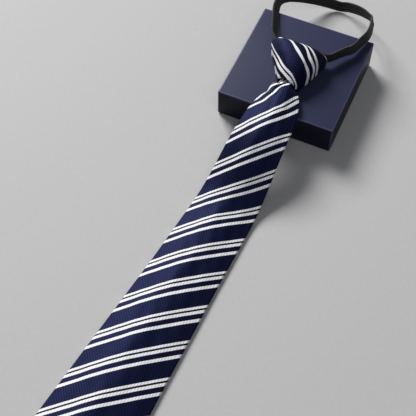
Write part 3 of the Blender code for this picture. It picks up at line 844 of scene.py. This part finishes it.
def blade_section(y):
    """Outer and inner points of one section, from one flap's edge round the front to the other's."""
    along = mouth_y() - y
    to_shoulder = BLADE_REACH - POINT_LENGTH
    taper = BLADE_NECK_WIDTH + (BLADE_WIDTH - BLADE_NECK_WIDTH) * min(along / to_shoulder, 1.0)
    closing = min((BLADE_REACH - along) / POINT_LENGTH, 1.0)
    fine = min(1.0, max(closing * POINT_FADE, POINT_THIN))
    radius = FOLD_RADIUS * fine
    wall = CLOTH * fine
    slit = FLAP_GAP / 2 * fine
    left = max(float(neck("left", y)) * taper / 2 * closing, radius + 2 * slit)
    right = max(float(neck("right", y)) * taper / 2 * closing, radius + 2 * slit)
    crown = BLADE_CROWN * float(neck("crown", y))
    fade, kept = CROWN_FADE
    rise = (crown - 2 * FOLD_RADIUS) * float(ease(closing * fade + kept)) * fine

    share = np.linspace(0, 1, FLAP_STEPS)
    across = np.linspace(-1, 1, CROWN_STEPS + 1)
    u, height = crown_height(across, left - radius, right - radius, rise, radius, y)
    slope = np.gradient(height, u)
    tilt = 1 / np.hypot(slope, 1)
    none = 0 * share
    flap_left = np.stack([-slit + (slit - (left - radius)) * share, none, none, none - 1], 1)
    turn = FOLD_ANGLES[::-1]
    fold_left = np.stack([-(left - radius) - radius * np.cos(turn), radius + radius * np.sin(turn),
                          -np.cos(turn), np.sin(turn)], 1)
    front = np.stack([u, height, -slope * tilt, tilt], 1)
    turn = FOLD_ANGLES
    fold_right = np.stack([right - radius + radius * np.cos(turn), radius + radius * np.sin(turn),
                           np.cos(turn), np.sin(turn)], 1)
    flap_right = np.stack([slit + (right - radius - slit) * share[::-1], none, none, none - 1], 1)
    line = np.vstack([flap_left, fold_left, front, fold_right, flap_right])
    outer = line[:, :2]
    inner = outer - line[:, 2:] * wall
    walked = np.concatenate([[0], np.cumsum(np.linalg.norm(np.diff(outer, axis=0), axis=1))])
    first = FLAP_STEPS + len(FOLD_ANGLES)
    middle = np.interp(0.0, u, walked[first:first + len(u)])
    cloth = (walked - middle) * float(neck("cloth", y))
    beside = np.concatenate([np.full(first, -1.0), across, np.full(first, 1.0)])
    pull = STRIPE_PERIOD * (neck("left_pull", y) * (1 - beside) + neck("right_pull", y) * (1 + beside)) / 2
    lean, up = slope_normal(blade_underside, y)
    base = blade_underside(y)

    def place(points):
        return np.stack([BLADE_X + points[:, 0], y + points[:, 1] * lean, base + points[:, 1] * up], 1)

    return place(outer), place(inner), cloth, pull


def blade_stations():
    top = mouth_y() + BLADE_TUCK
    neck_end = mouth_y() - NECK_LENGTH
    shoulder = mouth_y() - BLADE_REACH + POINT_LENGTH
    tip = mouth_y() - BLADE_REACH
    ends = (top, mouth_y(), neck_end, shoulder, tip)
    places = []
    for start, end, count in zip(ends, ends[1:], STATION_COUNTS):
        places += [start + (end - start) * i / count for i in range(count)]
    return np.array(places + [tip + POINT_BLUNT])


def make_blade(finish):
    stations = blade_stations()
    sections = [blade_section(y) for y in stations]
    base = np.array([blade_underside(y) for y in stations])
    walked = np.concatenate([[0], np.cumsum(np.hypot(np.diff(stations), np.diff(base)))])
    # Distance along the cloth, equal to y where the blade lies flat on the table
    flat = stations[-1] + walked[-1] - walked
    rows = []
    maps = []
    sine, cosine = math.sin(STRIPE_ANGLE), math.cos(STRIPE_ANGLE)
    for (outer, inner, cloth, pull), along in zip(sections, flat):
        rows.append(np.vstack([outer, inner[::-1]]))
        lengths = np.concatenate([cloth, cloth[::-1], cloth[:1]])
        pulled = np.concatenate([pull, pull[::-1], pull[:1]])
        past = along - STRIPE_START_Y
        maps.append(np.stack([lengths * sine + past * cosine, lengths * cosine - past * sine + pulled], 1))
    made = sheet_mesh("blade_cloth", rows, finish, ring=True, maps=maps)
    close_ends(made, len(rows[0]))
    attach(made, "root")
    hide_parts("blade")
    return made


def close_ends(made, count):
    """Joins the outer to the inner wall at the first and last row of a folded sheet."""
    form = bmesh.new()
    form.from_mesh(made.data)
    form.verts.ensure_lookup_table()
    rows = len(form.verts) // count
    for first in (0, (rows - 1) * count):
        for j in range(count // 2 - 1):
            corners = (first + j, first + j + 1, first + count - 2 - j, first + count - 1 - j)
            form.faces.new([form.verts[k] for k in corners]).smooth = True
    turn_outward(form)
    form.to_mesh(made.data)
    form.free()


def band_route():
    over_walls = BOX_HEIGHT + KNOT_WALL + COLLAR_WALL + 3 * GAP
    route = []
    for side, along, deck, lift, lean in LOOP_ROWS:
        route.append((KNOT_MIDDLE_X + side * LOOP_WIDTH, KNOT_TOP_Y + along * LOOP_REACH,
                      deck * BOX_HEIGHT + lift * BAND_WIDTH, lean))
    for side, down, lift, lean in PASS_ROWS:
        route.append((KNOT_MIDDLE_X + side * KNOT_WIDTH, KNOT_TOP_Y - down * KNOT_LENGTH,
                      over_walls + lift * BAND_WIDTH, lean))
    return np.array(route)


def closed_curve(points, steps):
    """Evenly parted places on a smooth closed curve through the points."""
    count = len(points)
    fine = []
    for i in range(count):
        before, here, there, after = (points[(i + k) % count] for k in (-1, 0, 1, 2))
        for j in range(CURVE_STEPS):
            t = j / CURVE_STEPS
            fine.append(0.5 * (2 * here + (there - before) * t
                               + (2 * before - 5 * here + 4 * there - after) * t * t
                               + (3 * here - before - 3 * there + after) * t ** 3))
    fine = np.array(fine)
    ring = np.vstack([fine, fine[:1]])
    walked = np.concatenate([[0], np.cumsum(np.linalg.norm(np.diff(ring[:, :3], axis=0), axis=1))])
    wanted = np.linspace(0, walked[-1], steps, endpoint=False)
    places = np.array([[np.interp(at, walked, ring[:, k]) for k in range(ring.shape[1])] for at in wanted])
    return places, float(walked[-1])


# The strap's section: a place across its width from the lower edge, and the thickness there, both as shares.
WEB_ROWS = (
    (0.00, 0.40), (0.05, 0.90), (0.11, 1.00), (0.16, 0.62), (0.20, 0.60), (0.30, 0.84), (0.42, 0.84),
    (0.48, 0.62), (0.52, 0.62), (0.58, 0.84), (0.70, 0.84), (0.80, 0.60), (0.84, 0.62), (0.89, 1.00),
    (0.95, 0.90), (1.00, 0.40),
)


def band_frames():
    """Places, and the directions up the strap's width and out of its face, along the whole loop."""
    stations, length = closed_curve(band_route(), BAND_STEPS)
    middle = stations[:, :3]
    ahead = np.roll(middle, -1, axis=0) - np.roll(middle, 1, axis=0)
    ahead /= np.linalg.norm(ahead, axis=1)[:, None]
    outward_ = np.stack([-ahead[:, 1], ahead[:, 0], 0 * ahead[:, 0]], 1)
    outward_ /= np.linalg.norm(outward_, axis=1)[:, None]
    lean = np.radians(stations[:, 3])[:, None]
    rise = np.cos(lean) * np.array([0, 0, 1.0]) + np.sin(lean) * outward_
    rise -= ahead * (rise * ahead).sum(1)[:, None]
    rise /= np.linalg.norm(rise, axis=1)[:, None]
    face = np.cross(ahead, rise)
    return middle, ahead, rise, face, length


def make_band(finish, teeth_finish):
    middle, ahead, rise, face, length = band_frames()
    across = np.linspace(0, 1, WEB_STEPS + 1)
    places, halves = np.array(WEB_ROWS).T
    half = smooth_table(places, halves, across) * BAND_THICKNESS / 2
    up = np.concatenate([across, across[::-1]]) * BAND_WIDTH
    out = np.concatenate([-half, half[::-1]])
    rows = (middle[:, None] + rise[:, None] * up[None, :, None] + face[:, None] * out[None, :, None])
    around = np.concatenate([up, up[:1]])
    along = np.linspace(0, length, BAND_STEPS + 1)
    maps = np.stack(np.broadcast_arrays(along[:, None], around[None, :]), -1)
    made = sheet_mesh("neck_strap", rows, finish, ring=True, loop=True, maps=maps)
    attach(made, "root")
    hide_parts("neck_band")
    teeth = make_teeth(middle, ahead, rise, face, length, teeth_finish)
    return made, teeth


def make_teeth(middle, ahead, rise, face, length, finish):
    """The row of nylon teeth along the strap's upper edge, on the two arms that leave the knot."""
    form = bmesh.new()
    count = int(length / TOOTH_PITCH)
    loop = np.vstack([middle, middle[:1]])
    walked = np.linspace(0, 1, len(loop))
    for i in range(count):
        at = i / count
        k = int(at * BAND_STEPS) % BAND_STEPS
        place = np.array([np.interp(at, walked, loop[:, n]) for n in range(3)])
        if place[1] < KNOT_TOP_Y + TEETH_START or place[1] > KNOT_TOP_Y + TEETH_REACH * LOOP_REACH:
            continue
        place = place + rise[k] * (BAND_WIDTH + TOOTH_LIFT) - face[k] * TOOTH_SHIFT
        turn = Matrix((tuple(ahead[k]), tuple(rise[k]), tuple(face[k]))).transposed().to_4x4()
        add_bead(form, place, turn, (TOOTH_HALF_LENGTH, TOOTH_RADIUS, TOOTH_RADIUS))
    return zipper_detail("strap_teeth", form, finish)


def add_bead(form, place, turn, halves):
    """One small rounded tooth, with its half sizes."""
    matrix = Matrix.Translation(Vector(place)) @ turn @ Matrix.Diagonal((*halves, 1))
    bmesh.ops.create_icosphere(form, subdivisions=1, radius=1.0, matrix=matrix)


def zipper_detail(name, form, finish):
    """A smooth-shaded object of the form, one of the zipper's small pieces."""
    mesh = bpy.data.meshes.new(name)
    form.to_mesh(mesh)
    form.free()
    mesh.shade_smooth()
    mesh.materials.append(finish)
    made = bpy.data.objects.new(name, mesh)
    bpy.context.scene.collection.objects.link(made)
    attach(made, "root")
    return made


def zip_place(y, side, up):
    """A place on the closed zipper: across from its middle and up from its back."""
    lean, high = slope_normal(zip_underside, y)
    shift = float(neck("lift", y))
    middle = BLADE_X + (mouth_middle_x() - BLADE_X) * shift
    narrow = 1 + (ZIP_GATHER - 1) * shift
    return (middle + side * narrow, y + up * lean, zip_underside(y) + up * high)


def make_zipper(tape_finish, teeth_finish, slider_finish):
    top = KNOT_TOP_Y - COLLAR_DEPTH - 2 * GAP
    bottom = top - ZIP_LENGTH
    rows = []
    maps = []
    half = ZIP_WIDTH / 2
    sides = np.linspace(-half, half, ZIP_SIDE_STEPS + 1)
    outline = [(s, 0.0) for s in sides] + [(s, ZIP_TAPE) for s in sides[::-1]]
    for i in range(ZIP_STEPS + 1):
        y = top + (bottom - top) * i / ZIP_STEPS
        rows.append([zip_place(y, side, up) for side, up in outline])
        maps.append([(y, side) for side, up in outline + outline[:1]])
    tape = sheet_mesh("zipper_tape_cloth", rows, tape_finish, ring=True, maps=maps)
    close_ends(tape, len(outline))
    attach(tape, "root")
    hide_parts("zipper_tail")

    form = bmesh.new()
    slider_end = top - SLIDER_LENGTH
    count = int((slider_end - bottom - 2 * COIL_MARGIN) / COIL_PITCH)
    for i in range(count):
        y = slider_end - COIL_MARGIN - (i + 0.5) * COIL_PITCH
        for side in (-1, 1):
            shifted = y + side * COIL_PITCH / 4
            place = zip_place(shifted, side * COIL_OFFSET, (ZIP_TAPE + ZIP_CHAIN) / 2)
            lean, high = slope_normal(zip_underside, shifted)
            turn = Matrix.Rotation(math.atan2(-lean, high), 4, "X")
            add_bead(form, place, turn, (COIL_HALF_WIDTH, COIL_HALF_LENGTH, (ZIP_CHAIN - ZIP_TAPE) / 2))
    teeth = zipper_detail("zipper_teeth", form, teeth_finish)

    form = bmesh.new()
    middle = zip_place(top - SLIDER_LENGTH / 2, 0.0, SLIDER_HEIGHT / 2)
    size = Matrix.Diagonal((SLIDER_WIDTH, SLIDER_LENGTH, SLIDER_HEIGHT, 1))
    bmesh.ops.create_cube(form, size=1.0, matrix=Matrix.Translation(Vector(middle)) @ size)
    bmesh.ops.bevel(form, geom=list(form.edges), offset=SLIDER_EDGE, segments=4, profile=0.6, affect="EDGES")
    return tape, teeth, zipper_detail("zipper_slider", form, slider_finish)


def make_box(lid_finish, tray_finish):
    """A lid of paper-covered card over a tray that stands just inside it."""
    lid = box_shell("box_lid", BOX_WIDTH, BOX_DEPTH, TRAY_FOOT, BOX_HEIGHT, lid_finish, hollow=True)
    inset = LID_WALL + TRAY_INSET
    tray = box_shell("box_tray", BOX_WIDTH - 2 * inset, BOX_DEPTH - 2 * inset, 0.0,
                     BOX_HEIGHT - LID_WALL - TRAY_ROOM, tray_finish, hollow=False)
    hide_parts("gift_box")
    for made in (lid, tray):
        made.rotation_euler = (0, 0, BOX_TURN)
        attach(made, "root")


def box_shell(name, width, depth, bottom, top, finish, hollow):
    """A rounded box; hollow leaves it open below, with walls of card."""
    form = bmesh.new()
    size = Matrix.Diagonal((width, depth, top - bottom, 1))
    bmesh.ops.create_cube(form, size=1.0, matrix=Matrix.Translation((0, 0, (top + bottom) / 2)) @ size)
    if hollow:
        below = [face for face in form.faces if face.normal.z < -0.5]
        bmesh.ops.inset_region(form, faces=below, thickness=LID_WALL)
        moved = bmesh.ops.extrude_face_region(form, geom=below)
        raised = [item for item in moved["geom"] if isinstance(item, bmesh.types.BMVert)]
        bmesh.ops.translate(form, vec=(0, 0, top - bottom - LID_WALL), verts=raised)
        bmesh.ops.delete(form, geom=below, context="FACES")

    def on_side(place):
        return min(abs(abs(place.x) - width / 2), abs(abs(place.y) - depth / 2)) < TOUCH

    outer = [edge for edge in form.edges if all(on_side(vert.co) for vert in edge.verts)]
    bmesh.ops.bevel(form, geom=outer, offset=BOX_EDGE, segments=4, profile=0.5, affect="EDGES")
    mesh = bpy.data.meshes.new(name)
    form.to_mesh(mesh)
    form.free()
    mesh.materials.append(finish)
    made = outward(name, mesh)
    mesh.set_sharp_from_angle(angle=math.radians(35))
    return made


def make_camera():
    turn, tilt = CAMERA_TURN, CAMERA_TILT
    ahead = Vector((-math.sin(turn) * math.cos(tilt), math.cos(turn) * math.cos(tilt), -math.sin(tilt)))
    right = Vector((math.cos(turn), math.sin(turn), 0))
    up = right.cross(ahead)
    rolled_right = right * math.cos(CAMERA_ROLL) + up * math.sin(CAMERA_ROLL)
    rolled_up = rolled_right.cross(ahead)
    camera = bpy.data.objects.new("camera", bpy.data.cameras.new("camera"))
    camera.data.lens = CAMERA_LENS
    camera.data.sensor_width = 36
    camera.matrix_world = Matrix.Translation(CAMERA_PLACE) @ Matrix(
        (rolled_right, rolled_up, -ahead)).transposed().to_4x4()
    bpy.context.scene.collection.objects.link(camera)
    bpy.context.scene.camera = camera


def add_light(name, direction, distance, size, power, tint):
    """A square soft light that looks at the tie from a direction."""
    light = bpy.data.lights.new(name, "AREA")
    light.shape = "SQUARE"
    light.size = size
    light.energy = power
    light.color = tint
    made = bpy.data.objects.new(name, light)
    towards = Vector(direction).normalized()
    made.location = Vector(LIGHT_TARGET) + towards * distance
    made.rotation_mode = "QUATERNION"
    made.rotation_quaternion = towards.to_track_quat("Z", "Y")
    bpy.context.scene.collection.objects.link(made)


def make_studio():
    graph = Graph("pale_floor")
    place = graph.node("ShaderNodeTexCoord").outputs["Object"]
    speck = graph.noise(place, 300, 3)
    shade = graph.mix(speck, colour(FLOOR_DARK), colour(FLOOR_LIGHT))
    finish = graph.set(Base_Color=shade, Roughness=0.7)
    mesh = bpy.data.meshes.new("floor")
    corners = ((-1, -1), (1, -1), (1, 1), (-1, 1))
    mesh.from_pydata([(x * FLOOR_REACH, y * FLOOR_REACH, 0) for x, y in corners], [], [(0, 1, 2, 3)])
    mesh.materials.append(finish)
    floor = bpy.data.objects.new("floor", mesh)
    floor.location.z = -GAP
    bpy.context.scene.collection.objects.link(floor)
    world = bpy.data.worlds.new("studio")
    world.use_nodes = True
    sky = world.node_tree.nodes["Background"].inputs
    sky["Color"].default_value = colour(SKY)
    sky["Strength"].default_value = SKY_STRENGTH
    bpy.context.scene.world = world
    add_light("key", *KEY_LIGHT)
    add_light("fill", *FILL_LIGHT)


cloth_finish = striped_cloth()
blade_piece = make_blade(cloth_finish)
knot_piece = make_knot(cloth_finish)
collar_piece = make_collar(cloth_finish)
teeth_finish = nylon()
strap_piece, strap_teeth = make_band(strap_web("strap_web_weave", BAND_WIDTH / 3), teeth_finish)
zipper_piece, zipper_teeth, zipper_slider = make_zipper(strap_web("zipper_tape_weave", ZIP_WIDTH / 5),
                                                        teeth_finish, painted_metal())
make_box(card("box_lid_paper", LID_PAPER), card("box_tray_paper", TRAY_PAPER))

make_studio()
make_camera()
bpy.context.scene.view_settings.view_transform = "Standard"
